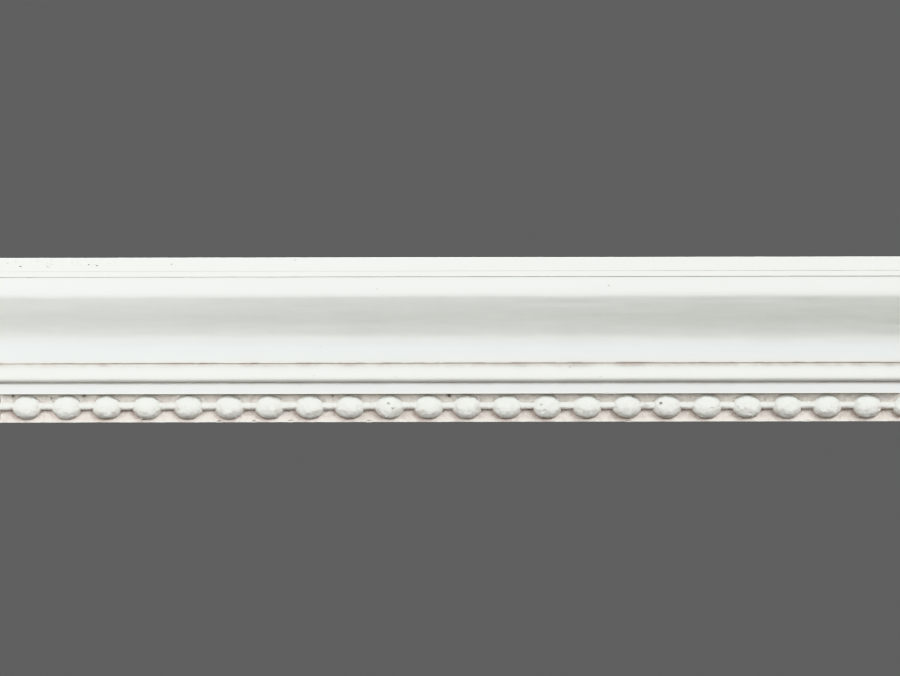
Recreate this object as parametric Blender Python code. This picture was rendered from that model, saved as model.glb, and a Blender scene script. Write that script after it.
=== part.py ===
"""A length of beaded panel moulding, cast in plaster as one piece.

The back lies on the wall in the plane y = 0 and the face looks towards -Y. The length runs along X and the
height along Z. The origin is the middle of the back. Sizes are in metres and angles in degrees.
"""

import math

import bmesh
import bpy
from mathutils import Matrix

# The length that is cut, square at both ends
LENGTH = 0.360

# The oval beads on their round string, and the plaster that is left behind each bead
BEAD_LENGTH = 0.0121
BEAD_HEIGHT = 0.0098
BEAD_DEPTH = 0.0080
BEAD_PITCH = 0.0160
BEAD_HEADROOM = 0.0005
BEAD_LIFT = -0.0003
BEAD_BACKING = 0.0015
BEAD_ROW_SHIFT = -0.0013
STRING_DIAMETER = 0.0031
STRING_LIFT = 0.0002
STRING_RISE = 0.00045

# The hollow bed that the beads lie in, and the thin lip along the lower edge
BED_DEPTH = 0.0042
BED_HOLLOW = 0.0007
LIP_HEIGHT = 0.0011
LIP_STEP = 0.0003

# The flat band above the bed, and the torus above it: a quarter round below its crest, a flatter round above
BAND_HEIGHT = 0.0045
BAND_SLOPE = 6.0
BAND_STEP = 0.0002
TORUS_LOWER_HEIGHT = 0.0026
TORUS_UPPER_HEIGHT = 0.0052
TORUS_STAND = 0.0026
TORUS_UPPER_SLOPE = 62.0

# The ogee: a nearly flat foot, a hollow, a long sloping face, a shoulder and a head that leans back a little
OGEE_FLAT_HEIGHT = 0.0058
OGEE_HOLLOW_HEIGHT = 0.0061
OGEE_LOWER_FACE_HEIGHT = 0.0057
OGEE_UPPER_FACE_HEIGHT = 0.0081
OGEE_SHOULDER_HEIGHT = 0.0027
OGEE_HEAD_HEIGHT = 0.0057
OGEE_FLAT_SLOPE = 8.0
OGEE_LOWER_SLOPE = 32.0
OGEE_STEEPEST_SLOPE = 37.0
OGEE_UPPER_SLOPE = 32.0
OGEE_HEAD_LEAN = 5.0

# The two flat fillets along the upper edge, each standing further out than what lies below it
SECOND_FILLET_HEIGHT = 0.0021
SECOND_FILLET_STEP = 0.0008
TOP_FILLET_HEIGHT = 0.0054
TOP_FILLET_STEP = 0.0003
UPPER_EDGE_RADIUS = 0.0005
ARRIS_RADIUS = 0.0002

# How finely round stretches are cut into facets
ARC_STEP = 9.0
ARRIS_STEPS = 3
BED_STEPS = 6
BEAD_SEGMENTS = 18
BEAD_RINGS = 12
STRING_SEGMENTS = 12
SMOOTH_ANGLE = 25.0

PLASTER_WHITE = (0.86, 0.865, 0.84, 1.0)
PLASTER_ROUGHNESS = 0.55

# Heights that follow from the sizes above, measured from the middle of the back
BED_HEIGHT = BEAD_HEIGHT + BEAD_HEADROOM
OGEE_HEIGHT = (
    OGEE_HEAD_HEIGHT
    + OGEE_SHOULDER_HEIGHT
    + OGEE_UPPER_FACE_HEIGHT
    + OGEE_LOWER_FACE_HEIGHT
    + OGEE_HOLLOW_HEIGHT
    + OGEE_FLAT_HEIGHT
)
HEIGHT = (
    TOP_FILLET_HEIGHT
    + SECOND_FILLET_HEIGHT
    + OGEE_HEIGHT
    + TORUS_LOWER_HEIGHT
    + TORUS_UPPER_HEIGHT
    + BAND_HEIGHT
    + BED_HEIGHT
    + LIP_HEIGHT
)
TOP = HEIGHT / 2
BOTTOM = -HEIGHT / 2
BED_BOTTOM = BOTTOM + LIP_HEIGHT
BAND_BOTTOM = BED_BOTTOM + BED_HEIGHT
TORUS_BOTTOM = BAND_BOTTOM + BAND_HEIGHT
TORUS_CREST = TORUS_BOTTOM + TORUS_LOWER_HEIGHT
OGEE_BOTTOM = TORUS_CREST + TORUS_UPPER_HEIGHT
OGEE_TOP = OGEE_BOTTOM + OGEE_HEIGHT
SECOND_FILLET_TOP = OGEE_TOP + SECOND_FILLET_HEIGHT
BEAD_CENTRE_HEIGHT = BED_BOTTOM + BEAD_HEIGHT / 2
STRING_CENTRE_HEIGHT = BEAD_CENTRE_HEIGHT + STRING_RISE

# Projections from the wall that follow from the sizes above, as far as the ogee's flat foot
BEAD_CENTRE_OUT = BEAD_BACKING + BEAD_DEPTH / 2
BED_OUT = BEAD_CENTRE_OUT - BEAD_LIFT
STRING_CENTRE_OUT = BED_OUT + STRING_LIFT
BAND_OUT = BED_OUT + BED_DEPTH
BAND_TOP_OUT = BAND_OUT + BAND_HEIGHT * math.tan(math.radians(BAND_SLOPE))
OGEE_FOOT_OUT = BAND_TOP_OUT - BAND_STEP
OGEE_FLAT_OUT = OGEE_FOOT_OUT + OGEE_FLAT_HEIGHT * math.tan(math.radians(OGEE_FLAT_SLOPE))


def slope_arc(start, height, slope_from, slope_to):
    """Points of a circular arc that climbs by height while its slope turns from one angle to another.

    On a circle the sine of the slope grows evenly with the height, which gives the radius. A point is
    (projection from the wall, height).
    """
    out, low = start
    sine_from = math.sin(math.radians(slope_from))
    cosine_from = math.cos(math.radians(slope_from))
    radius = height / (math.sin(math.radians(slope_to)) - sine_from)
    steps = max(2, math.ceil(abs(slope_to - slope_from) / ARC_STEP))
    points = []
    for step in range(1, steps + 1):
        slope = math.radians(slope_from + (slope_to - slope_from) * step / steps)
        rise = radius * (math.sin(slope) - sine_from)
        points.append((out + radius * (cosine_from - math.cos(slope)), low + rise))
    return points


def corner_arc(corner, radius, side):
    """Points that round a corner of the face: side is 1 for one that looks up, -1 for one that looks down.

    They run upwards in both cases.
    """
    points = []
    for step in range(ARRIS_STEPS + 1):
        turn = math.radians(90 * step / ARRIS_STEPS)
        if side < 0:
            turn -= math.radians(90)
        out = corner[0] - radius + radius * math.cos(turn)
        points.append((out, corner[1] - side * radius + radius * math.sin(turn)))
    return points


def bed_points():
    """The lip along the lower edge and the hollow bed of the beads above it."""
    points = corner_arc((BED_OUT + LIP_STEP, BOTTOM), ARRIS_RADIUS, -1)
    points.append((BED_OUT + LIP_STEP, BED_BOTTOM))
    for step in range(BED_STEPS + 1):
        share = step / BED_STEPS
        hollow = BED_HOLLOW * (1 - (2 * share - 1) ** 2)
        points.append((BED_OUT - hollow, BED_BOTTOM + BED_HEIGHT * share))
    return points


def band_and_torus_points():
    """The flat band and the torus, whose flatter upper round ends in a small quirk under the ogee's foot."""
    steps = math.ceil(90 / ARC_STEP)
    points = corner_arc((BAND_OUT, BAND_BOTTOM), ARRIS_RADIUS, -1)
    points.append((BAND_TOP_OUT, TORUS_BOTTOM))
    for step in range(steps + 1):
        turn = math.radians(90 * step / steps)
        out = OGEE_FOOT_OUT + TORUS_STAND * math.sin(turn)
        points.append((out, TORUS_CREST - TORUS_LOWER_HEIGHT * math.cos(turn)))
    points += slope_arc(points[-1], TORUS_UPPER_HEIGHT, 0.0, -TORUS_UPPER_SLOPE)
    points.append((OGEE_FOOT_OUT, OGEE_BOTTOM))
    return points


def ogee_points():
    """The ogee, from the top of its nearly flat foot up to the top of its head."""
    points = [(OGEE_FLAT_OUT, OGEE_BOTTOM + OGEE_FLAT_HEIGHT)]
    stretches = (
        (OGEE_HOLLOW_HEIGHT, OGEE_FLAT_SLOPE, OGEE_LOWER_SLOPE),
        (OGEE_LOWER_FACE_HEIGHT, OGEE_LOWER_SLOPE, OGEE_STEEPEST_SLOPE),
        (OGEE_UPPER_FACE_HEIGHT, OGEE_STEEPEST_SLOPE, OGEE_UPPER_SLOPE),
        (OGEE_SHOULDER_HEIGHT, OGEE_UPPER_SLOPE, 0.0),
        (OGEE_HEAD_HEIGHT, 0.0, -OGEE_HEAD_LEAN),
    )
    for height, slope_from, slope_to in stretches:
        points += slope_arc(points[-1], height, slope_from, slope_to)
    return points


def fillet_points(head_out):
    """The two flat fillets, from the head of the ogee to the upper edge."""
    second_out = head_out + SECOND_FILLET_STEP
    top_out = second_out + TOP_FILLET_STEP
    points = corner_arc((second_out, OGEE_TOP), ARRIS_RADIUS, -1)
    points.append((second_out, SECOND_FILLET_TOP))
    points += corner_arc((top_out, SECOND_FILLET_TOP), ARRIS_RADIUS, -1)
    points += corner_arc((top_out, TOP), UPPER_EDGE_RADIUS, 1)
    return points


def moulding_outline():
    """The whole section from the lower to the upper corner of the back: (projection, height) points."""
    points = [(0.0, BOTTOM)]
    points += bed_points()
    points += band_and_torus_points()
    points += ogee_points()
    points += fillet_points(points[-1][0])
    points.append((0.0, TOP))
    return points


def link(name, bm):
    """Makes an object of a bmesh, shaded smooth on its round stretches."""
    mesh = bpy.data.meshes.new(name)
    bmesh.ops.recalc_face_normals(bm, faces=bm.faces)
    bm.to_mesh(mesh)
    bm.free()
    mesh.shade_smooth()
    mesh.set_sharp_from_angle(angle=math.radians(SMOOTH_ANGLE))
    made = bpy.data.objects.new(name, mesh)
    bpy.context.scene.collection.objects.link(made)
    return made


def as_helper(helper):
    """Marks an object that only shapes another one, so that it isn't part of the model."""
    helper.hide_render = True
    helper.display_type = "WIRE"
    return helper


def make_run(outline):
    """The plain moulding, the section drawn along X and a little longer than the finished length."""
    bm = bmesh.new()
    reach = LENGTH / 2 + BEAD_PITCH
    section = bm.faces.new([bm.verts.new((-reach, -out, height)) for out, height in outline])
    drawn = bmesh.ops.extrude_face_region(bm, geom=[section])
    moved = [item for item in drawn["geom"] if isinstance(item, bmesh.types.BMVert)]
    bmesh.ops.translate(bm, verts=moved, vec=(2 * reach, 0, 0))
    return link("beaded_panel_moulding", bm)


def make_string():
    """The round string between the beads, which lies half in the bed."""
    bm = bmesh.new()
    bmesh.ops.create_cone(
        bm,
        cap_ends=True,
        segments=STRING_SEGMENTS,
        radius1=STRING_DIAMETER / 2,
        radius2=STRING_DIAMETER / 2,
        depth=LENGTH + BEAD_PITCH,
        matrix=Matrix.Rotation(math.radians(90), 4, "Y"),
    )
    bmesh.ops.translate(bm, verts=bm.verts, vec=(0, -STRING_CENTRE_OUT, STRING_CENTRE_HEIGHT))
    return as_helper(link("bead_string", bm))


def bead_places():
    """The beads' places along X: evenly spaced, as many as touch the finished length."""
    reach = LENGTH / 2 + BEAD_LENGTH / 2
    first = math.ceil((-reach - BEAD_ROW_SHIFT) / BEAD_PITCH - 0.5)
    last = math.floor((reach - BEAD_ROW_SHIFT) / BEAD_PITCH - 0.5)
    return [(index + 0.5) * BEAD_PITCH + BEAD_ROW_SHIFT for index in range(first, last + 1)]


def make_beads():
    """All the beads, oval balls that are longest along the string, with their poles towards their neighbours."""
    oval = Matrix.Diagonal((BEAD_LENGTH, BEAD_DEPTH, BEAD_HEIGHT, 1))
    unit_to_bead = oval @ Matrix.Rotation(math.radians(90), 4, "Y")
    bm = bmesh.new()
    for place in bead_places():
        centre = Matrix.Translation((place, -BEAD_CENTRE_OUT, BEAD_CENTRE_HEIGHT))
        bmesh.ops.create_uvsphere(
            bm,
            u_segments=BEAD_SEGMENTS,
            v_segments=BEAD_RINGS,
            radius=0.5,
            matrix=centre @ unit_to_bead,
        )
    return as_helper(link("beads", bm))


def make_saw_block(thickness):
    """The block that is left between the two square saw cuts, larger than the section all round."""
    bm = bmesh.new()
    bmesh.ops.create_cube(bm, size=1.0)
    bmesh.ops.scale(bm, vec=(LENGTH, 4 * thickness, 2 * HEIGHT), verts=bm.verts)
    return as_helper(link("saw_block", bm))


def combine(target, helper, operation):
    """Adds a Boolean that joins the helper to the target or keeps what they share."""
    modifier = target.modifiers.new(helper.name, "BOOLEAN")
    modifier.object = helper
    modifier.operation = operation
    modifier.solver = "EXACT"


def plaster():
    """The matt white finish of the plaster."""
    material = bpy.data.materials.new("white_plaster")
    material.use_nodes = True
    shader = material.node_tree.nodes["Principled BSDF"]
    shader.inputs["Base Color"].default_value = PLASTER_WHITE
    shader.inputs["Roughness"].default_value = PLASTER_ROUGHNESS
    shader.inputs["Metallic"].default_value = 0.0
    return material


def main():
    for old in list(bpy.data.objects):
        bpy.data.objects.remove(old)
    outline = moulding_outline()
    moulding = make_run(outline)
    combine(moulding, make_string(), "UNION")
    combine(moulding, make_beads(), "UNION")
    combine(moulding, make_saw_block(max(out for out, height in outline)), "INTERSECT")
    moulding.data.materials.append(plaster())


main()
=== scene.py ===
"""Dresses the beaded panel moulding as white cast plaster and sets it in a plain studio.

The moulding lies with its flat back in the plane y = 0, its face towards -Y, its length along X and its
height along Z. All sizes are in metres.
"""

import math

import bmesh
import bpy
import numpy as np
from bpy.props import FloatProperty, FloatVectorProperty, PointerProperty
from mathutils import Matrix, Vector


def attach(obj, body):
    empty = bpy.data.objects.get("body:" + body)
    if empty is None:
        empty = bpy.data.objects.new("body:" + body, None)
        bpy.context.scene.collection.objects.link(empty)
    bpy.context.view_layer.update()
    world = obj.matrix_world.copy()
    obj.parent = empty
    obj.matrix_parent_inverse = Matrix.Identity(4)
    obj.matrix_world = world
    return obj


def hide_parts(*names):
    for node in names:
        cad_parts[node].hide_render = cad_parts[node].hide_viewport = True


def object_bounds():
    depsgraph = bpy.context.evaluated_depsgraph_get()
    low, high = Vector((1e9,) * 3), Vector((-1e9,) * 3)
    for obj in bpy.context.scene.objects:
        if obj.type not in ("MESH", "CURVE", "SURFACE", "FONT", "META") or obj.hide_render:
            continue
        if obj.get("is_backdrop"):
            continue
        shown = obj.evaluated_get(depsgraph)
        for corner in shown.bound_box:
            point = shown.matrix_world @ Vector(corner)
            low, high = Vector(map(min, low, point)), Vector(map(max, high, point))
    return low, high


bl_info = {
    "name": "Beaded Panel Moulding",
    "version": (1, 0, 0),
    "blender": (4, 5, 0),
    "location": "3D View > Sidebar > Moulding",
    "description": "Makes a length of beaded plaster moulding and its studio",
    "category": "Object",
}

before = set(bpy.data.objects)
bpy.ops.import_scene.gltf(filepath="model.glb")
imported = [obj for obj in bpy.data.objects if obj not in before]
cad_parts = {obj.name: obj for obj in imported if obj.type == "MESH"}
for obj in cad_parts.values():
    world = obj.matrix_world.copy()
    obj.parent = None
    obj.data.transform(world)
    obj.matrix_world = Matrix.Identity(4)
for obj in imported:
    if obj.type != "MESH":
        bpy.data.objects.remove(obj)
CAD_LOW, CAD_HIGH = (list(corner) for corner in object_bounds())

NODE = "beaded_panel_moulding"
PIECE = "cast_plaster_moulding"

# How finely the surface is sampled, in metres
STATION_SPACING = 0.0015
FACE_SPACING = 0.00052
TORUS_SPACING = 0.00045
BACK_SPACING = 0.0030
EDGE_SPACING = 0.0018
ARRIS_STEPS = 5
BEAD_SEGMENTS = 48
BEAD_RINGS = 40
STRING_SEGMENTS = 28

# Marks in the plaster, each (x, z, radius, stretch). The stretch says how long the mark is along X as a share
# of its radius, and the rest is in millimetres. Pits and chips are cut out, and nibs stand on the surface.
PITS = (
    (-109.2, 30.0, 0.45, 1.3),
    (-60.8, 31.6, 0.40, 1.0),
    (-28.8, 20.2, 0.32, 1.2),
    (62.4, 21.4, 0.42, 1.1),
    (-51.6, -2.4, 0.30, 1.0),
    (47.6, -10.8, 0.32, 1.0),
    (-54.0, -13.9, 0.30, 1.5),
    (-174.8, -22.0, 0.60, 1.0),
    (-159.6, -23.0, 0.55, 1.0),
    (-146.4, -22.0, 0.65, 1.3),
    (-47.0, -22.1, 0.50, 1.2),
    (-0.3, -22.1, 0.80, 1.0),
    (-24.6, -25.2, 0.55, 1.4),
    (73.0, -22.5, 0.55, 1.3),
    (84.0, -25.3, 0.75, 1.1),
    (78.6, -26.0, 0.60, 1.5),
    (36.2, -25.8, 0.45, 1.6),
    (37.6, -27.9, 0.40, 2.2),
    (115.0, -26.7, 0.35, 1.0),
    (-21.6, -14.4, 0.28, 2.0),
    (59.8, -14.4, 0.28, 2.4),
)
CHIPS = (
    (-92.4, -21.1, 0.42, 2.2),
    (62.6, -21.1, 0.36, 4.5),
    (65.8, -21.1, 0.30, 3.0),
    (-92.0, -32.4, 0.80, 1.6),
    (-78.4, -32.4, 0.85, 1.5),
    (-63.6, -32.4, 0.70, 2.0),
    (-32.4, -32.4, 0.75, 2.0),
    (71.0, -32.5, 0.60, 2.4),
    (143.0, -32.5, 0.60, 2.0),
)
NIBS = (
    (-4.0, -6.4, 0.26, 1.2),
    (-22.8, -26.6, 0.75, 1.1),
    (80.4, -27.2, 0.60, 1.3),
    (84.1, -25.3, 0.34, 1.0),
    (-55.0, -11.4, 0.25, 1.6),
)

# Marks scattered by chance: seed, how many, between which x and between which z, and their smallest and largest
# radius, all in millimetres
FROTH = (42, 70, (-180.0, -130.0), (29.0, 32.2), (0.20, 0.42))
BEAD_PITS = (43, 60, (-180.0, 180.0), (-31.0, -22.5), (0.16, 0.36))
BEAD_NIBS = (41, 34, (-180.0, 180.0), (-31.5, -22.5), (0.18, 0.40))
FACE_PITS = (44, 26, (-180.0, 180.0), (-20.0, 32.0), (0.10, 0.22))

# The small balls that cut the pits or stand as nibs: their facets, the angle left open at each pole, the
# height and size of their lumps, and how long the scattered ones may be along X
MARK_SEGMENTS, MARK_RINGS, MARK_POLE = 10, 8, 0.25
MARK_LUMPS = 0.3
MARK_LUMP_SIZE = 0.0005
MARK_STRETCH = (0.8, 1.7)

# How far each kind of mark is sunk, as a share of its radius, and the seed of its lumps
NIB_SUNK, NIB_SEED = 0.35, 31
PIT_SUNK, PIT_SEED = 0.1, 32
CHIP_SUNK, CHIP_SEED = -0.3, 33

# A stretch of the bead row is set over to the right, in metres: how far, round which x, and over what reach
ROW_SET = 0.0011
ROW_SET_MIDDLE = -0.057
ROW_SET_REACH = 0.054

# How much the beads differ in size, which part of that is below their full size, and their open poles
BEAD_SPREAD = 0.024
BEAD_SHRINK = 0.6
BEAD_POLE = 0.12

# Soft noise, in layers of (depth, stretch of the axes, size of the bumps, seed). Depths are in metres, but
# shares of the unevenness for the surface, of the ripple for the back and of the radius for the girth.
EVEN = (1, 1, 1)
DRAWN_OUT = (0.12, 1, 1)
SURFACE_LAYERS = (
    (0.55, EVEN, 0.017, 1),
    (0.45, DRAWN_OUT, 0.0021, 2),
    (0.30, EVEN, 0.0046, 3),
    (0.22, EVEN, 0.0019, 4),
)
BED_LAYERS = ((0.00009, EVEN, 0.0023, 6), (0.00007, EVEN, 0.0011, 7))
BACK_LAYERS = ((0.5, (0.06, 1, 1), 0.0035, 5),)
BEAD_LAYERS = ((0.00007, EVEN, 0.0046, 12), (0.00009, EVEN, 0.0021, 13))
STRING_GIRTH = ((0.05, EVEN, 0.004, 21),)
STRING_DRIFT = ((0.00008, EVEN, 0.009, 22),)

# Creases in the beads: depth in metres, sharpness, stretch of the axes, size of the bumps and seed
BEAD_CREASES = ((0.00016, 7, (0.6, 1, 1), 0.0034, 14), (0.00012, 6, (1, 1, 0.5), 0.0026, 15))

# How deep the back is hollowed at most, how thick a skin of the moulding counts as its back, and over what
# distance the hollowing starts at its edges and the roughness starts under the band, in metres
BACK_RIPPLE = 0.00022
BACK_SKIN = 0.0004
BACK_FADE = 0.002
BED_FADE = 0.001

# How far the string and the run are made past the saw cuts, in metres
STRING_OVERRUN = 0.003
RUN_OVERRUN = 0.002

# Over what distance the dust and painted shade fade round the beads, the painted shadow and dust under the
# string and the painted shade down from the top of the torus, in metres
BEAD_SHADE_AND_DUST_REACH = 0.0015
STRING_SHADOW_REACH = 0.0020
TORUS_TOP_SHADE_REACH = 0.0016

# How strong the painted shadow and dust under the string, the painted shade on top of the torus, the dust and
# painted shade in the lower bed and the painted highlight on the fronts are, as shares
STRING_SHADOW_AND_DUST = 0.9
TORUS_TOP_SHADE = 2.2
LOWER_BED_SHADE_AND_DUST = 0.48
FRONT_HIGHLIGHT = 0.5

# How far behind the face a point counts as unseen, and the play up and down in finding the face, in metres
UNSEEN_DEPTH = 0.002
FACE_PLAY = 0.0004

# Patterns in the plaster: bumps per metre and detail
CLOUDS = (38.0, 4.0)
STREAKS = (420.0, 4.0)
MOTTLES = (420.0, 4.0)
DENTS = (1100.0, 3.0)
GRAIN = (2400.0, 3.0)
PATCHES = (90.0, 4.0)
# How far the bed takes its own colour, a painted warm fill light that lifts the shade in the bed
BED_FILL_LIGHT = 0.6

# The soft lights: name, the setting with the power, azimuth and elevation in degrees, share of the light
# distance, and width and height in metres
LIGHTS = (
    ("front_light", "front_power", 0, 12, 1.0, (0.9, 0.7)),
    ("key_light", "key_power", 46, 30, 1.0, (0.7, 0.5)),
    ("top_light", "top_power", 0, 66, 1.0, (1.0, 0.5)),
    ("near_light", "near_power", -50, 20, 0.43, (0.4, 0.4)),
    ("back_light", "back_power", 165, 28, 1.0, (0.9, 0.6)),
)
FLOOR_ROUGHNESS = 0.8
SENSOR_WIDTH = 36.0
SHARP_ANGLE = math.radians(32)


class MouldingSizes(bpy.types.PropertyGroup):
    """The sizes of the moulding, the same as those of the solid."""

    length: FloatProperty(
        name="Length", description="Length between the saw cuts", default=0.360, unit="LENGTH"
    )
    bead_length: FloatProperty(
        name="Bead length", description="Length of a bead along the string",
        default=0.0121, unit="LENGTH",
    )
    bead_height: FloatProperty(
        name="Bead height", description="Height of a bead", default=0.0098, unit="LENGTH"
    )
    bead_depth: FloatProperty(
        name="Bead depth", description="Depth of a whole bead from front to back",
        default=0.0080, unit="LENGTH",
    )
    bead_pitch: FloatProperty(
        name="Bead pitch", description="Distance from bead to bead", default=0.0160, unit="LENGTH"
    )
    bead_headroom: FloatProperty(
        name="Bead headroom", description="From the top of a bead up to the band",
        default=0.0005, unit="LENGTH",
    )
    bead_lift: FloatProperty(
        name="Bead lift", description="Bead centre out from the bed's edges",
        default=-0.0003, unit="LENGTH",
    )
    bead_backing: FloatProperty(
        name="Bead backing", description="Plaster behind each bead", default=0.0015, unit="LENGTH"
    )
    bead_row_shift: FloatProperty(
        name="Row shift", description="How far the row lies to the right", default=-0.0013, unit="LENGTH"
    )
    string_diameter: FloatProperty(
        name="String diameter", description="Diameter of the string", default=0.0031, unit="LENGTH"
    )
    string_rise: FloatProperty(
        name="String rise", description="Of the string above the bead centres",
        default=0.00045, unit="LENGTH",
    )
    string_lift: FloatProperty(
        name="String lift", description="String centre out from the bed's edges",
        default=0.0002, unit="LENGTH",
    )
    bed_depth: FloatProperty(
        name="Bed depth", description="Depth of the bed behind the band", default=0.0042, unit="LENGTH"
    )
    bed_hollow: FloatProperty(
        name="Bed hollow", description="How far the bed is hollowed", default=0.0007, unit="LENGTH"
    )
    lip_height: FloatProperty(
        name="Lip height", description="Height of the lower lip", default=0.0011, unit="LENGTH"
    )
    lip_step: FloatProperty(
        name="Lip step", description="How far the lip stands out of the bed",
        default=0.0003, unit="LENGTH",
    )
    band_height: FloatProperty(
        name="Band height", description="Height of the flat band", default=0.0045, unit="LENGTH"
    )
    band_step: FloatProperty(
        name="Band step", description="How far the band stands out of the ogee's foot",
        default=0.0002, unit="LENGTH",
    )
    band_slope: FloatProperty(
        name="Band slope", description="How far the band faces down",
        default=math.radians(6), unit="ROTATION",
    )
    torus_lower: FloatProperty(
        name="Torus below", description="Height of the torus below its crest",
        default=0.0026, unit="LENGTH",
    )
    torus_upper: FloatProperty(
        name="Torus above", description="Height of the torus above its crest",
        default=0.0052, unit="LENGTH",
    )
    torus_stand: FloatProperty(
        name="Torus stand", description="How far the torus stands out", default=0.0026, unit="LENGTH"
    )
    torus_slope: FloatProperty(
        name="Torus slope", description="Slope of the torus at its top",
        default=math.radians(62), unit="ROTATION",
    )
    ogee_flat: FloatProperty(
        name="Ogee flat", description="Height of the ogee's flat foot", default=0.0058, unit="LENGTH"
    )
    ogee_hollow: FloatProperty(
        name="Ogee hollow", description="Height of the ogee's hollow", default=0.0061, unit="LENGTH"
    )
    ogee_lower: FloatProperty(
        name="Ogee lower face", description="Height of the lower sloping face",
        default=0.0057, unit="LENGTH",
    )
    ogee_upper: FloatProperty(
        name="Ogee upper face", description="Height of the upper sloping face",
        default=0.0081, unit="LENGTH",
    )
    ogee_shoulder: FloatProperty(
        name="Ogee shoulder", description="Height of the rounded shoulder", default=0.0027, unit="LENGTH"
    )
    ogee_head: FloatProperty(
        name="Ogee head", description="Height of the ogee's head", default=0.0057, unit="LENGTH"
    )
    flat_slope: FloatProperty(
        name="Foot slope", description="How far the foot faces down",
        default=math.radians(8), unit="ROTATION",
    )
    lower_slope: FloatProperty(
        name="Lower slope", description="Slope above the hollow",
        default=math.radians(32), unit="ROTATION",
    )
    steepest_slope: FloatProperty(
        name="Steepest slope", description="Slope in the middle",
        default=math.radians(37), unit="ROTATION",
    )
    upper_slope: FloatProperty(
        name="Upper slope", description="Slope below the shoulder",
        default=math.radians(32), unit="ROTATION",
    )
    head_lean: FloatProperty(
        name="Head lean", description="How far the head leans back",
        default=math.radians(5), unit="ROTATION",
    )
    second_height: FloatProperty(
        name="Second fillet", description="Height of the second fillet", default=0.0021, unit="LENGTH"
    )
    second_step: FloatProperty(
        name="Second step", description="Second fillet out from the ogee", default=0.0008, unit="LENGTH"
    )
    top_height: FloatProperty(
        name="Top fillet", description="Height of the top fillet", default=0.0054, unit="LENGTH"
    )
    top_step: FloatProperty(
        name="Top step", description="Top fillet out from the second one", default=0.0003, unit="LENGTH"
    )
    upper_edge: FloatProperty(
        name="Upper edge", description="Radius of the upper front edge", default=0.0005, unit="LENGTH"
    )
    arris: FloatProperty(
        name="Arris", description="Radius of the other edges", default=0.0002, unit="LENGTH"
    )
    uneven: FloatProperty(
        name="Unevenness", description="Depth of the soft unevenness", default=0.00007, unit="LENGTH"
    )


class PlasterFinish(bpy.types.PropertyGroup):
    """The colours and gloss of the plaster."""

    white: FloatVectorProperty(
        name="White",
        description="Colour of the clean plaster",
        subtype="COLOR",
        size=4,
        min=0.0,
        max=1.0,
        default=(0.793, 0.832, 0.80, 1.0),
    )
    flats: FloatVectorProperty(
        name="Flats",
        description="Colour of the flat under the ogee and of the band, a little cooler",
        subtype="COLOR",
        size=4,
        min=0.0,
        max=1.0,
        default=(0.752, 0.80, 0.795, 1.0),
    )
    # Dust colour, also used for the painted shade in the hollows, round the beads and under the string
    dust_and_shade: FloatVectorProperty(
        name="Dust",
        description="Colour of the dust in the hollows",
        subtype="COLOR",
        size=4,
        min=0.0,
        max=1.0,
        default=(0.34, 0.272, 0.23, 1.0),
    )
    # Lighter and warmer than the white: a painted warm fill light in the shaded bed and at the foot of the
    # beads
    bed: FloatVectorProperty(
        name="Bed",
        description="Colour of the plaster in the bed and at the foot of the beads",
        subtype="COLOR",
        size=4,
        min=0.0,
        max=1.0,
        default=(0.86, 0.81, 0.76, 1.0),
    )
    # Grey painted shade on the upper slope of the torus, under the overhang of the ogee
    settled: FloatVectorProperty(
        name="Settled dust",
        description="Colour of the dust on top of the torus",
        subtype="COLOR",
        size=4,
        min=0.0,
        max=1.0,
        default=(0.36, 0.355, 0.34, 1.0),
    )
    # Dark colour in the pits: dirt, and painted shade that deepens their own shadow
    stain: FloatVectorProperty(
        name="Stain",
        description="Colour of the dirt in the pits",
        subtype="COLOR",
        size=4,
        min=0.0,
        max=1.0,
        default=(0.17, 0.15, 0.135, 1.0),
    )
    # Lighter than the white: a painted highlight on the arrises, the fronts and the fillets at the top
    arris: FloatVectorProperty(
        name="Arris",
        description="Colour of the rubbed arrises",
        subtype="COLOR",
        size=4,
        min=0.0,
        max=1.0,
        default=(0.93, 0.955, 0.91, 1.0),
    )
    roughness: FloatProperty(
        name="Roughness", description="Mean roughness", default=0.55, min=0.0, max=1.0, subtype="FACTOR"
    )


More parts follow.
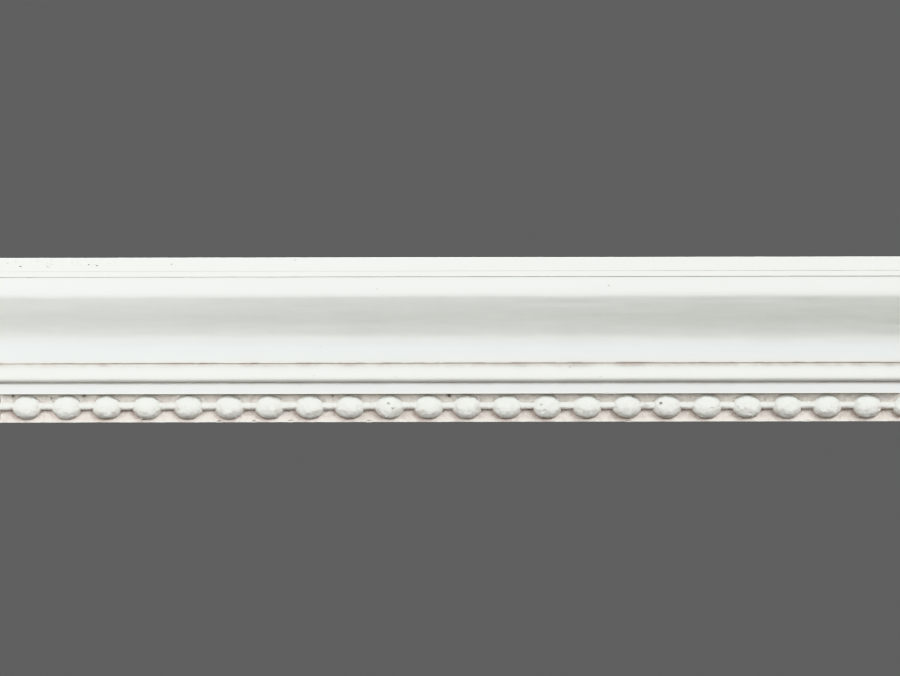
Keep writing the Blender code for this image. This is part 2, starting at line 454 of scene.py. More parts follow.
class StudioSettings(bpy.types.PropertyGroup):
    """The camera, the lights and the floor."""

    camera_distance: FloatProperty(
        name="Camera distance", description="From the bed of the beads", default=1.0, unit="LENGTH"
    )
    camera_height: FloatProperty(
        name="Camera height", description="Above the middle of the back", default=0.00095, unit="LENGTH"
    )
    camera_roll: FloatProperty(
        name="Camera roll", description="Roll to the right", default=math.radians(0.095), unit="ROTATION"
    )
    view_width: FloatProperty(
        name="View width", description="Width that the camera sees at the bed",
        default=0.360, unit="LENGTH",
    )
    floor_drop: FloatProperty(
        name="Floor drop", description="Floor below the middle of the back", default=0.42, unit="LENGTH"
    )
    floor_size: FloatProperty(
        name="Floor size", description="Side of the floor", default=2.6, unit="LENGTH"
    )
    floor_colour: FloatVectorProperty(
        name="Floor colour",
        description="Colour of the floor",
        subtype="COLOR",
        size=4,
        min=0.0,
        max=1.0,
        default=(0.86, 0.84, 0.81, 1.0),
    )
    light_distance: FloatProperty(
        name="Light distance", description="Of every light from the moulding", default=1.4, unit="LENGTH"
    )
    front_power: FloatProperty(name="Front light", description="Power of the front light", default=8.2)
    key_power: FloatProperty(
        name="Key light", description="Power of the light high on the right", default=14.6
    )
    top_power: FloatProperty(name="Top light", description="Power of the light overhead", default=2.2)
    near_power: FloatProperty(
        name="Near light", description="Power of the light near the left end", default=2.6
    )
    back_power: FloatProperty(name="Back light", description="Power of the light behind", default=11.0)
    backdrop: FloatVectorProperty(
        name="Backdrop",
        description="Colour of the surroundings",
        subtype="COLOR",
        size=4,
        min=0.0,
        max=1.0,
        default=(0.155, 0.155, 0.155, 1.0),
    )
    ambient: FloatVectorProperty(
        name="Ambient",
        description="Light from all sides",
        subtype="COLOR",
        size=4,
        min=0.0,
        max=1.0,
        default=(0.165, 0.144, 0.130, 1.0),
    )


def arc(start, height, slope_from, slope_to, spacing):
    """A circular arc from start that climbs by height while its slope turns from one angle to another.

    With radius r = height / (sin b - sin a), the point at slope s lies r (cos a - cos s) further out and
    r (sin s - sin a) higher. Points are (out, up) rows, without the start.
    """
    radius = height / (math.sin(slope_to) - math.sin(slope_from))
    count = max(3, math.ceil(abs(radius * (slope_to - slope_from)) / spacing))
    slope = np.linspace(slope_from, slope_to, count + 1)[1:]
    out = start[0] + radius * (math.cos(slope_from) - np.cos(slope))
    up = start[1] + radius * (np.sin(slope) - math.sin(slope_from))
    return np.stack([out, up], axis=1)


def corner(at, radius, side):
    """A quarter circle that rounds an outer corner: side 1 looks up and -1 looks down. It runs upwards."""
    turn = np.linspace(0, math.pi / 2, ARRIS_STEPS + 1) - (math.pi / 2 if side < 0 else 0)
    out = at[0] - radius + radius * np.cos(turn)
    up = at[1] - side * radius + radius * np.sin(turn)
    return np.stack([out, up], axis=1)


def levels(sizes):
    """Heights and projections that follow from the sizes, by name, as in the solid."""
    place = {}
    slopes = sizes.ogee_hollow + sizes.ogee_lower + sizes.ogee_upper
    steps = (
        ("lip_top", sizes.lip_height),
        ("bed_top", sizes.bead_height + sizes.bead_headroom),
        ("band_top", sizes.band_height),
        ("torus_crest", sizes.torus_lower),
        ("torus_top", sizes.torus_upper),
        ("flat_top", sizes.ogee_flat),
        ("head_top", slopes + sizes.ogee_shoulder + sizes.ogee_head),
        ("second_top", sizes.second_height),
        ("top", sizes.top_height),
    )
    height = sum(step for name, step in steps)
    place["bottom"] = up = -height / 2
    for name, step in steps:
        up += step
        place[name] = up
    place["bead_out"] = sizes.bead_backing + sizes.bead_depth / 2
    place["bead_up"] = place["lip_top"] + sizes.bead_height / 2
    place["bed_out"] = place["bead_out"] - sizes.bead_lift
    place["string_out"] = place["bed_out"] + sizes.string_lift
    place["string_up"] = place["bead_up"] + sizes.string_rise
    place["band_out"] = place["bed_out"] + sizes.bed_depth
    place["band_top_out"] = place["band_out"] + sizes.band_height * math.tan(sizes.band_slope)
    place["foot_out"] = place["band_top_out"] - sizes.band_step
    place["flat_out"] = place["foot_out"] + sizes.ogee_flat * math.tan(sizes.flat_slope)
    return place


def section(sizes):
    """The moulded face of the section from the lower to the upper corner of the back, as (out, up) rows.

    The bed is a parabola hollow = h (1 - (2 t - 1)^2), the torus a quarter of an ellipse below its crest
    and a circular arc above it, and the ogee a chain of circular arcs whose slopes meet.
    """
    at = levels(sizes)
    lip_out = at["bed_out"] + sizes.lip_step
    parts = [corner((lip_out, at["bottom"]), sizes.arris, -1), np.array([[lip_out, at["lip_top"]]])]
    share = np.linspace(0, 1, math.ceil((at["bed_top"] - at["lip_top"]) / FACE_SPACING) + 1)
    hollow = sizes.bed_hollow * (1 - (2 * share - 1) ** 2)
    climb = at["lip_top"] + share * (at["bed_top"] - at["lip_top"])
    parts.append(np.stack([at["bed_out"] - hollow, climb], axis=1))
    parts.append(corner((at["band_out"], at["bed_top"]), sizes.arris, -1))
    parts.append(np.array([[at["band_top_out"], at["band_top"]]]))
    turn = np.linspace(0, math.pi / 2, math.ceil(math.pi / 2 * sizes.torus_lower / TORUS_SPACING) + 1)
    out = at["foot_out"] + sizes.torus_stand * np.sin(turn)
    parts.append(np.stack([out, at["torus_crest"] - sizes.torus_lower * np.cos(turn)], axis=1))
    parts.append(arc(parts[-1][-1], sizes.torus_upper, 0.0, -sizes.torus_slope, TORUS_SPACING))
    parts.append(np.array([[at["foot_out"], at["torus_top"]], [at["flat_out"], at["flat_top"]]]))
    for height, slope_from, slope_to in (
        (sizes.ogee_hollow, sizes.flat_slope, sizes.lower_slope),
        (sizes.ogee_lower, sizes.lower_slope, sizes.steepest_slope),
        (sizes.ogee_upper, sizes.steepest_slope, sizes.upper_slope),
        (sizes.ogee_shoulder, sizes.upper_slope, 0.0),
        (sizes.ogee_head, 0.0, -sizes.head_lean),
    ):
        parts.append(arc(parts[-1][-1], height, slope_from, slope_to, FACE_SPACING))
    second_out = parts[-1][-1, 0] + sizes.second_step
    top_out = second_out + sizes.top_step
    parts.append(corner((second_out, at["head_top"]), sizes.arris, -1))
    parts.append(np.array([[second_out, at["second_top"]]]))
    parts.append(corner((top_out, at["second_top"]), sizes.arris, -1))
    parts.append(corner((top_out, at["top"]), sizes.upper_edge, 1))
    return np.concatenate(parts)


def resampled(points, spacing):
    """The chain of points with every straight stretch longer than the spacing cut into equal parts."""
    length = np.linalg.norm(np.diff(points, axis=0), axis=1)
    cuts = np.maximum(1, np.ceil(length / spacing)).astype(int)
    along = np.concatenate([[0.0], np.cumsum(cuts)])
    wanted = np.arange(along[-1] + 1)
    return np.stack([np.interp(wanted, along, points[:, axis]) for axis in (0, 1)], axis=1)


def closed_section(sizes):
    """The whole section as one closed chain: the face, the upper edge, the back and the lower edge."""
    at = levels(sizes)
    face = resampled(section(sizes), FACE_SPACING)
    upper = resampled(np.array([face[-1], [0.0, at["top"]]]), EDGE_SPACING)[1:]
    back = resampled(np.array([[0.0, at["top"]], [0.0, at["bottom"]]]), BACK_SPACING)[1:]
    lower = resampled(np.array([[0.0, at["bottom"]], face[0]]), EDGE_SPACING)[1:-1]
    return np.concatenate([face, upper, back, lower])


def ringed_solids(name, rings):
    """One mesh of closed solids, each a row of rings joined by quads and closed by a face at both ends.

    rings has the shape (solids, rings, points, 3).
    """
    solids, count, points, _ = rings.shape
    index = np.arange(solids * count * points).reshape(solids, count, points)
    near, far = index[:, :-1], index[:, 1:]
    quads = np.stack([near, np.roll(near, -1, axis=2), np.roll(far, -1, axis=2), far], axis=-1)
    ends = np.concatenate([index[:, 0, ::-1], index[:, -1]])
    mesh = bpy.data.meshes.new(name)
    mesh.from_pydata(rings.reshape(-1, 3), [], quads.reshape(-1, 4).tolist() + ends.tolist())
    bm = bmesh.new()
    bm.from_mesh(mesh)
    bmesh.ops.recalc_face_normals(bm, faces=bm.faces)
    bm.to_mesh(mesh)
    bm.free()
    made = bpy.data.objects.new(name, mesh)
    bpy.context.scene.collection.objects.link(made)
    return made


def lattice_noise(points, size, seed):
    """Smooth noise from -1 to 1 with bumps of about the given size.

    Every corner of a cubic lattice has a value hashed from its whole numbers, and a point takes the blend
    of the eight corners round it, with weights t^2 (3 - 2 t) along each axis.
    """
    cell = points / size
    base = np.floor(cell).astype(np.int64)
    part = cell - base
    part = part * part * (3 - 2 * part)
    total = np.zeros(len(points))
    for step in np.ndindex(2, 2, 2):
        at = base + step
        key = at[:, 0] * 374761393 + at[:, 1] * 668265263 + at[:, 2] * 2147483647 + seed * 1274126177
        key = (key ^ (key >> 13)) * 1103515245 & 0x7FFFFFFF
        key = (key ^ (key >> 15)) * 12345 & 0x7FFFFFFF
        weight = np.prod(np.where(step, part, 1 - part), axis=1)
        total += weight * (key / 0x3FFFFFFF - 1)
    return total


def layered_noise(points, layers):
    """The sum of d n(s p) over the layers, with the lattice noise n, the depth d and the stretch s."""
    total = np.zeros(len(points))
    for depth, stretch, size, seed in layers:
        total += depth * lattice_noise(points * stretch, size, seed)
    return total


def bead_places(sizes):
    """The beads' places along X. A stretch of the row left of the middle is set a little to the right.

    The shift is the set times exp(-((x - middle) / reach)^6).
    """
    reach = sizes.length / 2 + sizes.bead_length / 2
    first = math.ceil((-reach - sizes.bead_row_shift) / sizes.bead_pitch - 0.5)
    last = math.floor((reach - sizes.bead_row_shift) / sizes.bead_pitch - 0.5)
    even = (np.arange(first, last + 1) + 0.5) * sizes.bead_pitch + sizes.bead_row_shift
    return even + ROW_SET * np.exp(-(((even - ROW_SET_MIDDLE) / ROW_SET_REACH) ** 6))


def balls(centres, scale, segments, rings, pole):
    """Oval balls with their poles along X: a cos t along X, and an ellipse of b sin t by c sin t round it.

    t runs from a small angle to its mirror, so that each pole is a small flat face. scale has a row of
    the half sizes a, b and c for each ball.
    """
    around = np.linspace(0, 2 * math.pi, segments, endpoint=False)
    along = np.linspace(math.pi - pole, pole, rings)
    unit = np.stack(
        [
            np.repeat(np.cos(along)[:, None], segments, axis=1),
            np.sin(along)[:, None] * np.cos(around),
            np.sin(along)[:, None] * np.sin(around),
        ],
        axis=-1,
    )
    return centres[:, None, None, :] + unit * scale[:, None, None, :]


def bead_solids(sizes):
    """The beads, each of its own slight size, a little lumpy and creased.

    A crease has the depth d max(0, 1 - k |n|)^2, with n the lattice noise and k the sharpness.
    """
    at = levels(sizes)
    chance = np.random.default_rng(11)
    x = bead_places(sizes)
    centres = np.stack([x, np.full_like(x, -at["bead_out"]), np.full_like(x, at["bead_up"])], axis=1)
    half = np.array([sizes.bead_length, sizes.bead_depth, sizes.bead_height]) / 2
    scale = half * (1 + BEAD_SPREAD * (chance.random((len(x), 3)) - BEAD_SHRINK))
    rings = balls(centres, scale, BEAD_SEGMENTS, BEAD_RINGS, BEAD_POLE)
    flat = rings.reshape(-1, 3)
    lumps = layered_noise(flat, BEAD_LAYERS)
    for depth, sharpness, stretch, size, seed in BEAD_CREASES:
        valley = 1 - sharpness * np.abs(lattice_noise(flat * stretch, size, seed))
        lumps -= depth * np.maximum(0, valley) ** 2
    out = rings - centres[:, None, None, :]
    out /= np.linalg.norm(out, axis=-1, keepdims=True)
    return rings + out * lumps.reshape(rings.shape[:-1])[..., None]


def string_solid(sizes):
    """The string, a round bar along X that swells and thins a little between the beads."""
    at = levels(sizes)
    reach = sizes.length / 2 + STRING_OVERRUN
    x = np.arange(-reach, reach, STATION_SPACING)
    around = np.linspace(0, 2 * math.pi, STRING_SEGMENTS, endpoint=False)
    line = np.stack([x, np.zeros_like(x), np.zeros_like(x)], axis=1)
    radius = sizes.string_diameter / 2 * (1 + layered_noise(line, STRING_GIRTH))
    drift = layered_noise(line, STRING_DRIFT)
    y = -at["string_out"] + radius[:, None] * np.cos(around)
    z = at["string_up"] + drift[:, None] + radius[:, None] * np.sin(around)
    return np.stack([np.repeat(x[:, None], STRING_SEGMENTS, axis=1), y, z], axis=-1)[None]


def run_solid(sizes):
    """The plain moulding: the closed section repeated at even stations along X, a little past both ends."""
    outline = closed_section(sizes)
    reach = sizes.length / 2 + RUN_OVERRUN
    x = np.linspace(-reach, reach, math.ceil(2 * reach / STATION_SPACING) + 1)
    grid = np.empty((1, len(x), len(outline), 3))
    grid[..., 0] = x[:, None]
    grid[..., 1] = -outline[:, 0]
    grid[..., 2] = outline[:, 1]
    return grid


def face_out(sizes, up):
    """How far the plain face stands out at the given heights."""
    face = section(sizes)
    return np.interp(up, face[:, 1], face[:, 0])


def mark_balls(sizes, marks, sunk, seed):
    """Small lumpy balls on the surface at the marks' places, each sunk by a share of its radius."""
    at = levels(sizes)
    x, up, radius, stretch = (np.array(column) for column in zip(*marks))
    x, up, radius = x / 1000, up / 1000, radius / 1000
    out = face_out(sizes, up)
    across = np.min(np.abs(x[:, None] - bead_places(sizes)), axis=1) / (sizes.bead_length / 2)
    share = np.hypot(across, (up - at["bead_up"]) / (sizes.bead_height / 2))
    ball = at["bead_out"] + sizes.bead_depth / 2 * np.sqrt(np.maximum(1 - share**2, 0))
    out = np.where(share < 1, np.maximum(out, ball), out)
    centres = np.stack([x, -(out - sunk * radius), up], axis=1)
    scale = np.stack([radius * stretch, radius, radius], axis=1)
    rings = balls(centres, scale, MARK_SEGMENTS, MARK_RINGS, MARK_POLE)
    lumps = lattice_noise(rings.reshape(-1, 3), MARK_LUMP_SIZE, seed).reshape(rings.shape[:-1])
    return rings + (rings - centres[:, None, None, :]) * MARK_LUMPS * lumps[..., None]


def scattered(group):
    """Marks of one group at places drawn by chance, in the same form as the listed marks."""
    seed, count, across, up, radius = group
    chance = np.random.default_rng(seed)
    columns = [chance.uniform(*limits, count) for limits in (across, up, radius, MARK_STRETCH)]
    return tuple(zip(*columns))


def saw_block(sizes):
    """The block left between the two saw cuts, larger than the section all round."""
    at = levels(sizes)
    half, deep, high = sizes.length / 2, 0.05, at["top"] * 1.5
    square = np.array([(-deep, -high), (deep, -high), (deep, high), (-deep, high)])
    block = np.empty((1, 2, 4, 3))
    block[..., 0] = np.array([-half, half])[:, None]
    block[..., 1:] = square
    return block


def combined(base, helpers):
    """The base mesh after the helpers, pairs of an object and an operation, are joined to it in turn."""
    for helper, operation in helpers:
        modifier = base.modifiers.new(helper.name, "BOOLEAN")
        modifier.object = helper
        modifier.operation = operation
        modifier.solver = "MANIFOLD"
    depsgraph = bpy.context.evaluated_depsgraph_get()
    depsgraph.update()
    mesh = bpy.data.meshes.new_from_object(base.evaluated_get(depsgraph))
    for made in [base] + [helper for helper, operation in helpers]:
        bpy.data.objects.remove(made)
    return mesh


def read_vectors(collection, name):
    """A vector of every item of a mesh collection as an array of rows."""
    values = np.empty(len(collection) * 3, dtype=np.float32)
    collection.foreach_get(name, values)
    return values.reshape(-1, 3).astype(float)


def soften(mesh, sizes):
    """Moves the surface along its normals by soft noise, as plaster is never dead flat.

    Broad swellings, streaks drawn out along X and small dents are added, and the bed is rougher. The back
    is struck off by hand, so it is hollowed in long ripples that die away at its upper and lower edges.
    """
    place = read_vectors(mesh.vertices, "co")
    normal = read_vectors(mesh.vertex_normals, "vector")
    lift = sizes.uneven * layered_noise(place, SURFACE_LAYERS)
    in_bed = np.clip((levels(sizes)["bed_top"] - place[:, 2]) / BED_FADE, 0, 1)
    lift += in_bed * layered_noise(place, BED_LAYERS)
    on_back = place[:, 1] > -BACK_SKIN
    ripple = 0.5 + layered_noise(place, BACK_LAYERS)
    inside = (CAD_HIGH[2] - np.abs(place[:, 2])) / BACK_FADE
    lift = np.where(on_back, -BACK_RIPPLE * ripple * np.clip(inside, 0, 1), lift)
    moved = np.clip(place + normal * lift[:, None], CAD_LOW, CAD_HIGH)
    mesh.vertices.foreach_set("co", moved.astype(np.float32).ravel())
    mesh.update()


def keep_attribute(mesh, name, values):
    """Keeps one number per vertex as an attribute of the mesh, for the plaster's colour."""
    mesh.attributes.new(name, "FLOAT", "POINT").data.foreach_set("value", values.astype(np.float32))


def nearness(out, up, lines):
    """The largest of s exp(-d / w) over lines along X, each (out, up, w, s), at the distance d from it."""
    near = np.zeros(len(out))
    for line_out, line_up, reach, strength in lines:
        near = np.maximum(near, strength * np.exp(-np.hypot(out - line_out, up - line_up) / reach))
    return near


def behind_face(sizes, out, up):
    """True for points well behind the face: those on the back, the top and the inner part of the ends."""
    reach = np.min([face_out(sizes, up + shift) for shift in (-FACE_PLAY, 0.0, FACE_PLAY)], axis=0)
    return reach - out > UNSEEN_DEPTH


def mark_hollows(mesh, sizes):
    """Keeps on the mesh what the plaster's colour follows, in attributes from 0 to 1.

    hollow is dust and painted shade in the quirks of the section and in the corners of the bed, dust and
    painted shade close round the beads, more low down and on their left, a painted shadow with dust under the
    string, and dust and painted shade over the lower bed. settled is grey painted shade on top of the torus,
    and stain the dark dirt and painted shade in the pits. rubbed is 1 on the arrises and less on the fronts of
    the beads, the torus crest and the top fillets, where a painted highlight lies. rough is 1 in the bed and on
    the beads, bed is 1 on the bed's own surface, where its colour paints a warm fill light, and flats is 1 on
    the band and on the flat under the ogee.
    Points behind the face have none of these. Each list has (out, up, reach, strength) of a line along X.
    """
    at = levels(sizes)
    face = section(sizes)
    place = read_vectors(mesh.vertices, "co")
    out, up = -place[:, 1], place[:, 2]
    second_out = np.interp(at["second_top"] - 0.0004, face[:, 1], face[:, 0])
    top_out = np.max(face[:, 0])
    # Dust and painted shade along the quirks, under the torus and fillets and in the corners of the bed
    hollow = nearness(
        out,
        up,
        (
            (at["foot_out"] - 0.0003, at["torus_top"] - 0.0003, 0.0007, 1.1),
            (at["foot_out"], at["band_top"], 0.0005, 1.1),
            (at["foot_out"] + 0.0012, at["band_top"] + 0.0004, 0.0010, 0.35),
            (at["bed_out"], at["bed_top"], 0.0022, 0.22),
            (at["bed_out"], at["lip_top"], 0.0005, 0.5),
            (second_out, at["second_top"], 0.0003, 0.15),
        ),
    )
    aside = place[:, :1] - bead_places(sizes)
    aside = np.take_along_axis(aside, np.argmin(np.abs(aside), axis=1)[:, None], axis=1)[:, 0]
    across = np.abs(aside)
    share = np.hypot(across / (sizes.bead_length / 2), (up - at["bead_up"]) / (sizes.bead_height / 2))
    beyond = (share - 1) * sizes.bead_height / 2
    beside = np.hypot(np.maximum(beyond, 0), np.maximum(out - at["bed_out"], 0))
    # Dust and painted shade round the beads, stronger low down and on their left side, away from the light on
    # the right
    low = np.clip(0.6 - (up - at["bead_up"]) / 0.005, 0.25, 1.2)
    left_side_shade = np.clip(0.8 - 0.55 * aside / (sizes.bead_length / 2), 0.25, 1.25)
    hollow = np.maximum(hollow, left_side_shade * low * np.exp(-beside / BEAD_SHADE_AND_DUST_REACH))
    # Painted shadow of the string on the bed below it, with dust
    below = np.hypot(
        up - at["string_up"] + sizes.string_diameter / 2, out - at["bed_out"] + sizes.bed_hollow
    )
    hollow = np.maximum(hollow, STRING_SHADOW_AND_DUST * np.exp(-below / STRING_SHADOW_REACH))
    # Painted shade on the upper slope of the torus, where the ogee above keeps the light off
    on_torus = (up < at["torus_top"]) & (up > at["torus_crest"])
    settled = TORUS_TOP_SHADE * np.exp(-np.abs(at["torus_top"] - up) / TORUS_TOP_SHADE_REACH) * on_torus
    # Dust and painted shade over the lower bed, below the string
    in_bed = (up < at["bed_top"]) & (up > at["lip_top"]) & (out < at["bed_out"] + 0.0004)
    hollow = np.maximum(hollow, np.where(up < at["string_up"], LOWER_BED_SHADE_AND_DUST, 0.0) * in_bed)
    # Painted highlight on the arrises
    rubbed = nearness(
        out,
        up,
        (
            (at["band_out"], at["bed_top"], 0.0004, 1.0),
            (at["foot_out"], at["torus_top"], 0.0002, 0.4),
            (second_out, at["head_top"], 0.0005, 1.0),
            (top_out, at["second_top"], 0.0003, 0.5),
            (top_out, at["top"], 0.0005, 1.0),
            (at["bed_out"], at["bottom"], 0.0006, 0.7),
        ),
    )
    # A weaker painted highlight on the fronts of the beads, the crest of the torus and the fillets above the
    # head
    fronts = (out - at["bead_out"]) / (sizes.bead_depth / 2) - 0.6
    crest = np.exp(-(((up - at["torus_crest"]) / 0.0013) ** 2)) * (out > at["foot_out"])
    clean = np.where(up < at["bed_top"], 1.2 * fronts, np.maximum(crest, up > at["head_top"]))
    rubbed = np.maximum(rubbed, FRONT_HIGHLIGHT * np.clip(clean, 0, 1))
    # Dirt and painted shade in the listed pits
    stain = np.zeros(len(up))
    for x, height, radius, stretch in PITS:
        far = np.hypot((place[:, 0] * 1000 - x) / (radius * stretch), (up * 1000 - height) / radius)
        stain = np.maximum(stain, min(0.8, radius) * np.exp(-((far / 0.95) ** 4)))
    on_flat = np.minimum(up - at["torus_top"], at["flat_top"] + 0.004 - up) / 0.003
    on_band = np.minimum(up - at["bed_top"], at["band_top"] - up) / 0.0005
    marks = {
        "stain": stain,
        "settled": settled,
        "hollow": hollow,
        "rubbed": rubbed,
        "rough": (at["bed_top"] - up) / 0.0004,
        "flats": np.maximum(on_flat, on_band),
        "bed": np.where(up < at["bed_top"], 1 - (out - at["bed_out"]) / 0.0015, 0),
    }
    unseen = behind_face(sizes, out, up)
    for name, values in marks.items():
        keep_attribute(mesh, name, np.where(unseen, 0, np.clip(values, 0, 1)))


class Nodes:
    """Adds nodes to a material's tree and links them by name."""

    def __init__(self, tree):
        self.tree = tree

    def add(self, kind, inputs=(), **settings):
        node = self.tree.nodes.new(kind)
        for name, value in settings.items():
            setattr(node, name, value)
        for name, value in dict(inputs).items():
            if isinstance(value, bpy.types.NodeSocket):
                self.tree.links.new(value, node.inputs[name])
            else:
                node.inputs[name].default_value = value
        return node


def plaster_material(finish):
    """White cast plaster with faint clouds and streaks, dust and painted shade in the hollows, a painted shadow
    under the string, painted shade on top of the torus and in the pits, painted warm fill light in the bed,
    painted highlights on the arrises and a grain.
    """
    material = bpy.data.materials.new("white_cast_plaster")
    material.use_nodes = True
    tree = material.node_tree
    nodes = Nodes(tree)
    shader = tree.nodes["Principled BSDF"]
    place = nodes.add("ShaderNodeTexCoord").outputs["Object"]
    drawn = nodes.add("ShaderNodeMapping", {"Vector": place, "Scale": DRAWN_OUT}).outputs["Vector"]
    hollow, rubbed, rough, flats, settled, stain, bed = (
        nodes.add("ShaderNodeAttribute", attribute_name=name).outputs["Fac"]
        for name in ("hollow", "rubbed", "rough", "flats", "settled", "stain", "bed")
    )

    def noise(vector, pattern):
        scale, detail = pattern
        inputs = {"Vector": vector, "Scale": scale, "Detail": detail, "Roughness": 0.6}
        return nodes.add("ShaderNodeTexNoise", inputs).outputs["Fac"]

    def ranged(value, low, high, to_low, to_high):
        inputs = {
            "Value": value,
            "From Min": low,
            "From Max": high,
            "To Min": to_low,
            "To Max": to_high,
        }
        return nodes.add("ShaderNodeMapRange", inputs).outputs["Result"]

    def product(first, second):
        return nodes.add("ShaderNodeMath", {0: first, 1: second}, operation="MULTIPLY").outputs["Value"]

    def mixed(factor, first, second):
        inputs = {"Factor": factor, "A": first, "B": second}
        return nodes.add("ShaderNodeMix", inputs, data_type="RGBA").outputs[2]

    clouds = noise(place, CLOUDS)
    streaks = noise(drawn, STREAKS)
    mottles = noise(place, MOTTLES)
    dents = noise(place, DENTS)
    grain = noise(place, GRAIN)
    patches = ranged(noise(place, PATCHES), 0.3, 0.7, 0.55, 1.0)
    dust_and_shade = product(hollow, patches)
    speckled = product(rough, ranged(mottles, 0.45, 0.7, 0.0, 0.3))
    tone = product(
        ranged(clouds, 0.25, 0.75, 0.97, 1.02),
        ranged(streaks, 0.3, 0.7, 0.98, 1.015),
    )
    colour = mixed(flats, tuple(finish.white), tuple(finish.flats))
    # Painted warm fill light in the bed
    colour = mixed(product(bed, BED_FILL_LIGHT), colour, tuple(finish.bed))
    # Painted highlight on the arrises and fronts
    colour = mixed(rubbed, colour, tuple(finish.arris))
    colour = mixed(speckled, colour, tuple(finish.dust_and_shade))
    # Painted shade on top of the torus
    colour = mixed(product(settled, patches), colour, tuple(finish.settled))
    # Dust and painted shade in the hollows, round the beads and under the string
    colour = mixed(dust_and_shade, colour, tuple(finish.dust_and_shade))
    # Dirt and painted shade in the pits
    colour = mixed(stain, colour, tuple(finish.stain))
    toned = nodes.add("ShaderNodeVectorMath", {0: colour, "Scale": tone}, operation="SCALE")
    tree.links.new(toned.outputs["Vector"], shader.inputs["Base Color"])
    gloss = ranged(grain, 0.3, 0.7, finish.roughness - 0.06, finish.roughness + 0.08)
    tree.links.new(gloss, shader.inputs["Roughness"])
    normal = None
    # Relief too fine for the mesh: height, strength, distance in metres
    for height, strength, distance in (
        (grain, 0.25, 0.0001),
        (streaks, 0.3, 0.0002),
        (mottles, product(rough, 0.8), 0.0006),
        (dents, product(rough, 0.7), 0.0003),
    ):
        inputs = {"Height": height, "Strength": strength, "Distance": distance}
        if normal is not None:
            inputs["Normal"] = normal
        normal = nodes.add("ShaderNodeBump", inputs).outputs["Normal"]
    tree.links.new(normal, shader.inputs["Normal"])
    return material


def plain_material(name, colour, roughness):
    """A plain even finish for the floor."""
    material = bpy.data.materials.new(name)
    material.use_nodes = True
    shader = material.node_tree.nodes["Principled BSDF"]
    shader.inputs["Base Color"].default_value = colour
    shader.inputs["Roughness"].default_value = roughness
    return material


class MakeMoulding(bpy.types.Operator):
    """Makes the moulding with its beads, marks and plaster finish"""

    bl_idname = "moulding.make_moulding"
    bl_label = "Make Moulding"

    def execute(self, context):
        sizes = context.scene.moulding_sizes
        base = ringed_solids("run", run_solid(sizes))
        pits = PITS + scattered(FROTH) + scattered(BEAD_PITS) + scattered(FACE_PITS)
        nibs = NIBS + scattered(BEAD_NIBS)
        helpers = [
            (ringed_solids("string", string_solid(sizes)), "UNION"),
            (ringed_solids("beads", bead_solids(sizes)), "UNION"),
            (ringed_solids("nibs", mark_balls(sizes, nibs, NIB_SUNK, NIB_SEED)), "UNION"),
            (ringed_solids("pits", mark_balls(sizes, pits, PIT_SUNK, PIT_SEED)), "DIFFERENCE"),
            (ringed_solids("chips", mark_balls(sizes, CHIPS, CHIP_SUNK, CHIP_SEED)), "DIFFERENCE"),
            (ringed_solids("saw_block", saw_block(sizes)), "INTERSECT"),
        ]
        mesh = combined(base, helpers)
        mesh.name = PIECE
        soften(mesh, sizes)
        mark_hollows(mesh, sizes)
        mesh.shade_smooth()
        mesh.set_sharp_from_angle(angle=SHARP_ANGLE)
        mesh.materials.clear()
        mesh.materials.append(plaster_material(context.scene.plaster_finish))
        made = bpy.data.objects.new(PIECE, mesh)
        context.scene.collection.objects.link(made)
        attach(made, "root")
        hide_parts(NODE)
        return {"FINISHED"}


def soft_light(name, power, azimuth, elevation, distance, size):
    """A rectangular area light in a direction from the moulding, in degrees, turned towards it."""
    light = bpy.data.lights.new(name, "AREA")
    light.shape = "RECTANGLE"
    light.size, light.size_y = size
    light.energy = power
    around, up = math.radians(azimuth), math.radians(elevation)
    place = distance * Vector(
        (math.sin(around) * math.cos(up), -math.cos(around) * math.cos(up), math.sin(up))
    )
    made = bpy.data.objects.new(name, light)
    made.location = place
    made.rotation_euler = (-place).to_track_quat("-Z", "Y").to_euler()
    bpy.context.scene.collection.objects.link(made)


def studio_world(backdrop, ambient):
    """Surroundings that look like a grey backdrop and light the moulding only a little."""
    world = bpy.data.worlds.new("studio")
    world.use_nodes = True
    nodes = Nodes(world.node_tree)
    seen = nodes.add("ShaderNodeLightPath").outputs["Is Camera Ray"]
    colour = nodes.add("ShaderNodeMix", {"Factor": seen, "A": ambient, "B": backdrop}, data_type="RGBA")
    world.node_tree.links.new(colour.outputs[2], world.node_tree.nodes["Background"].inputs["Color"])
    return world


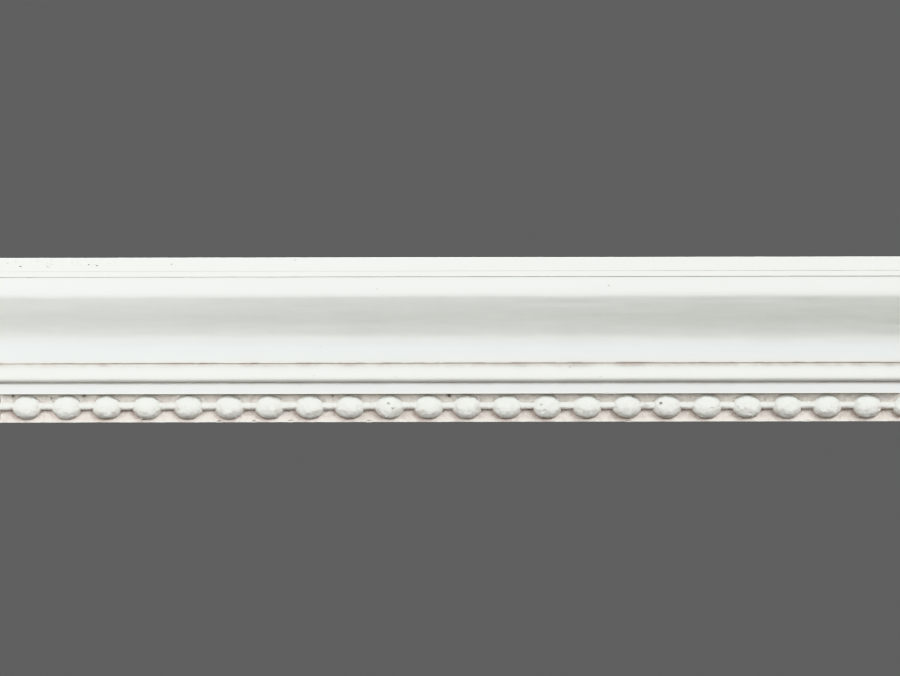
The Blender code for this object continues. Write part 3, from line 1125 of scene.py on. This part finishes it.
class SetStudio(bpy.types.Operator):
    """Sets the floor, the soft lights and the camera"""

    bl_idname = "moulding.set_studio"
    bl_label = "Set Studio"

    def execute(self, context):
        scene = context.scene
        studio = scene.studio_settings
        sizes = scene.moulding_sizes
        half = studio.floor_size / 2
        floor_mesh = bpy.data.meshes.new("floor")
        square = ((-half, -half), (half, -half), (half, half), (-half, half))
        floor_mesh.from_pydata([(x, y, -studio.floor_drop) for x, y in square], [], [(0, 1, 2, 3)])
        floor = bpy.data.objects.new("floor", floor_mesh)
        floor_mesh.materials.append(
            plain_material("pale_floor", tuple(studio.floor_colour), FLOOR_ROUGHNESS)
        )
        # The floor sends no light back on to the moulding
        floor.visible_diffuse = False
        scene.collection.objects.link(floor)
        floor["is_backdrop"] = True
        for name, power, azimuth, elevation, share, size in LIGHTS:
            distance = share * studio.light_distance
            soft_light(name, getattr(studio, power), azimuth, elevation, distance, size)
        scene.world = studio_world(tuple(studio.backdrop), tuple(studio.ambient))
        lens = bpy.data.cameras.new("camera")
        lens.sensor_width = SENSOR_WIDTH
        lens.lens = lens.sensor_width * studio.camera_distance / studio.view_width
        camera = bpy.data.objects.new("camera", lens)
        camera.location = (0, -(levels(sizes)["bed_out"] + studio.camera_distance), studio.camera_height)
        camera.rotation_euler = (math.radians(90), studio.camera_roll, 0)
        scene.collection.objects.link(camera)
        scene.camera = camera
        scene.view_settings.view_transform = "Khronos PBR Neutral"
        return {"FINISHED"}


class MouldingPanel(bpy.types.Panel):
    """Lists the moulding's sizes and the operators that make it"""

    bl_idname = "VIEW3D_PT_moulding"
    bl_label = "Beaded Panel Moulding"
    bl_space_type = "VIEW_3D"
    bl_region_type = "UI"
    bl_category = "Moulding"

    def draw(self, context):
        layout = self.layout
        for operator in OPERATORS:
            layout.operator(operator.bl_idname)
        for name in GROUPS:
            box = layout.box()
            group = getattr(context.scene, name)
            for field in group.bl_rna.properties.keys():
                if field not in ("rna_type", "name"):
                    box.prop(group, field)


GROUPS = {
    "moulding_sizes": MouldingSizes,
    "plaster_finish": PlasterFinish,
    "studio_settings": StudioSettings,
}
OPERATORS = (MakeMoulding, SetStudio)
CLASSES = (*GROUPS.values(), *OPERATORS, MouldingPanel)


def register():
    for made in CLASSES:
        bpy.utils.register_class(made)
    for name, group in GROUPS.items():
        setattr(bpy.types.Scene, name, PointerProperty(type=group))


def unregister():
    for name in GROUPS:
        delattr(bpy.types.Scene, name)
    for made in reversed(CLASSES):
        bpy.utils.unregister_class(made)


def main():
    register()
    bpy.ops.moulding.make_moulding()
    bpy.ops.moulding.set_studio()


if __name__ == "__main__":
    main()
